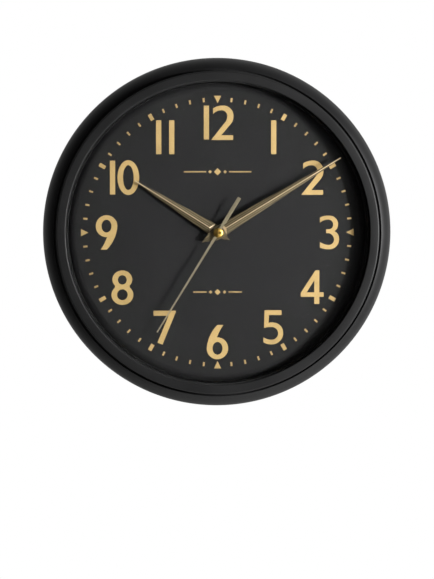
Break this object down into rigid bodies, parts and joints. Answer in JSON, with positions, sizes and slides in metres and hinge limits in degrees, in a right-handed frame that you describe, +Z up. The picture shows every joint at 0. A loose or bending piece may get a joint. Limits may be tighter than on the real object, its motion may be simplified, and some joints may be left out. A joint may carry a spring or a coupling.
{
  "type": "wall clock",
  "caption": "Round deep-cased quartz wall clock: raised flat bezel, flat glass, numbered dial, geared hour, minute and seconds hands, keyhole hanger at the back.",
  "frame": {"origin": "middle of the hanging keyhole's round entry, in the wall plane", "axes": "+Z up, +X to the right seen from the front, +Y into the wall: the dial faces -Y; the hands' axis is parallel to Y, 92 mm below the origin"},
  "size_m": [0.255, 0.046, 0.255],
  "materials": {
    "case_black": "satin moulded black",
    "bezel_black": "satin lacquered black",
    "cover_black": "fine grained black",
    "window_glass": "clear flat mineral glass",
    "gasket_rubber": "black foam rubber",
    "dial_black": "matt black lacquered sheet",
    "gold_ink": "gold dial ink",
    "plate_black": "black moulded plate",
    "hand_gold": "lengthwise brushed, champagne gold",
    "cap_brass": "polished brass",
    "collet_brass": "turned brass",
    "movement_plastic": "black moulded movement case",
    "gear_white": "natural acetal gear",
    "gear_black": "black acetal gear and tube",
    "magnet": "sintered ferrite magnet",
    "steel": "zinc plated steel",
    "iron": "stamped soft iron sheet",
    "copper": "enamelled copper wire",
    "board": "green resist on glass laminate",
    "chip_epoxy": "black epoxy drop",
    "crystal_can": "plated can",
    "cell": "plain wrapped dry cell",
    "screw_black": "blackened steel screws"
  },
  "bodies": {
    "case": {"case_shell": "case_black", "bezel_ring": "bezel_black", "bezel_screws": "steel", "glass_lens": "window_glass", "glass_gasket": "gasket_rubber", "spacer_ring": "bezel_black", "dial": "dial_black", "dial_plate": "plate_black", "dial_numerals": "gold_ink", "minute_track": "gold_ink", "dial_ornament": "gold_ink", "movement_front_shell": "movement_plastic", "movement_rear_shell": "movement_plastic", "rubber_washer": "gasket_rubber", "brass_washer": "collet_brass", "mounting_nut": "collet_brass", "stator": "iron", "coil_core": "iron", "coil_bobbin": "gear_white", "coil_winding": "copper", "circuit_board": "board", "quartz_crystal": "crystal_can", "driver_chip": "chip_epoxy", "battery_cell": "cell", "battery_contact_positive": "steel", "battery_contact_negative": "steel", "rear_cover": "cover_black", "rear_cover_screws": "screw_black", "hanger_plate": "steel", "hanger_rivets": "steel"},
    "minute_arbor": {"minute_hand": "hand_gold", "minute_hand_collet": "collet_brass", "centre_wheel": "gear_black"},
    "hour_arbor": {"hour_hand": "hand_gold", "hour_hand_collet": "collet_brass", "hour_wheel": "gear_white"},
    "seconds_arbor": {"seconds_hand": "hand_gold", "seconds_hand_socket": "collet_brass", "seconds_hand_cap": "cap_brass", "seconds_wheel": "gear_white"},
    "reverser": {"reverser_wheel": "gear_white"},
    "third": {"third_wheel": "gear_white"},
    "idler": {"idler_wheel": "gear_white"},
    "rotor": {"rotor_pinion": "gear_black", "rotor_magnet": "magnet"},
    "knob": {"setting_knob": "gear_white"}
  },
  "joints": [
    {"name": "minute_turn", "type": "hinge", "parent": "case", "child": "minute_arbor", "pos_m": [0, -0.03, -0.092], "axis": [0, 1, 0], "continuous": true},
    {"name": "hour_turn", "type": "hinge", "parent": "case", "child": "hour_arbor", "pos_m": [0, -0.03, -0.092], "axis": [0, 1, 0], "continuous": true},
    {"name": "seconds_turn", "type": "hinge", "parent": "case", "child": "seconds_arbor", "pos_m": [0, -0.03, -0.092], "axis": [0, 1, 0], "continuous": true},
    {"name": "reverser_turn", "type": "hinge", "parent": "case", "child": "reverser", "pos_m": [-0.00927, -0.022, -0.08951], "axis": [0, 1, 0], "continuous": true},
    {"name": "third_turn", "type": "hinge", "parent": "case", "child": "third", "pos_m": [-0.00187, -0.018, -0.08136], "axis": [0, 1, 0], "continuous": true},
    {"name": "idler_turn", "type": "hinge", "parent": "case", "child": "idler", "pos_m": [0.00987, -0.015, -0.08841], "axis": [0, 1, 0], "continuous": true},
    {"name": "rotor_turn", "type": "hinge", "parent": "case", "child": "rotor", "pos_m": [0.01832, -0.017, -0.08533], "axis": [0, 1, 0], "continuous": true},
    {"name": "knob_turn", "type": "hinge", "parent": "case", "child": "knob", "pos_m": [-0.01759, -0.009, -0.08471], "axis": [0, 1, 0], "continuous": true}
  ],
  "couplings": [
    {"joint": "hour_turn", "follows": "minute_turn", "ratio": 0.083333},
    {"joint": "seconds_turn", "follows": "minute_turn", "ratio": 60},
    {"joint": "reverser_turn", "follows": "minute_turn", "ratio": -0.33333},
    {"joint": "third_turn", "follows": "minute_turn", "ratio": -8},
    {"joint": "idler_turn", "follows": "minute_turn", "ratio": -360},
    {"joint": "rotor_turn", "follows": "minute_turn", "ratio": 1800},
    {"joint": "knob_turn", "follows": "minute_turn", "ratio": 1}
  ]
}
